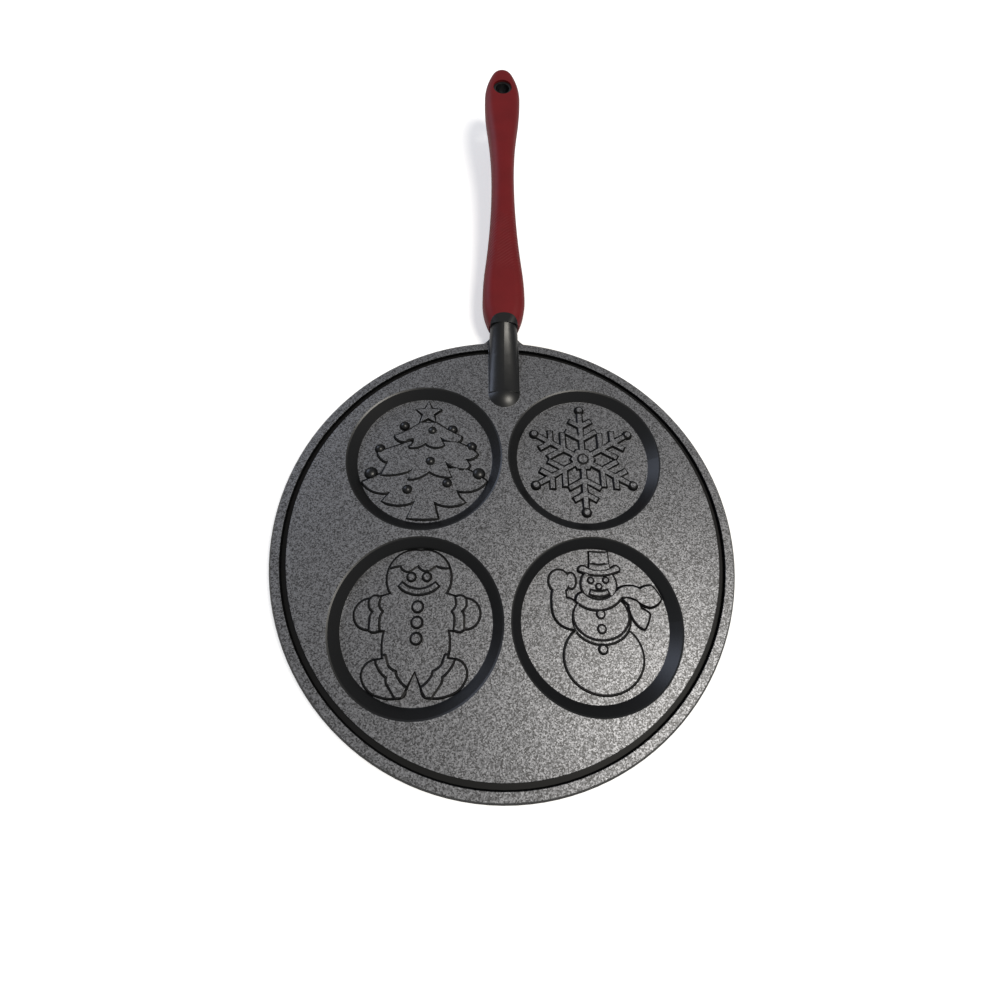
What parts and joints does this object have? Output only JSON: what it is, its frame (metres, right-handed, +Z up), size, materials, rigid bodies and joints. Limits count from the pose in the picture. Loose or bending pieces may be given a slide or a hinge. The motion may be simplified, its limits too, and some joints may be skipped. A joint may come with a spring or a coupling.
{
  "type": "pancake griddle",
  "caption": "Round cast pancake griddle with shallow wells that have raised winter figures on their floors, and a long handle with a soft grip and a hang hole.",
  "frame": {"origin": "centre of the plate's flat underside", "axes": "+Y from the plate along the handle, +X to the right seen from above with the handle pointing away, +Z up"},
  "size_m": [0.203, 0.3804, 0.0392],
  "materials": {
    "casting": "granular non-stick coating",
    "core": "satin moulded",
    "grip": "soft satin with fine ribs",
    "fastener": "plated"
  },
  "bodies": {
    "root": {"pan_casting": "casting", "handle_core": "core", "soft_grip": "grip", "hang_bush": "core", "plain_washer": "fastener", "spring_washer": "fastener", "tang_screw": "fastener"}
  },
  "joints": []
}
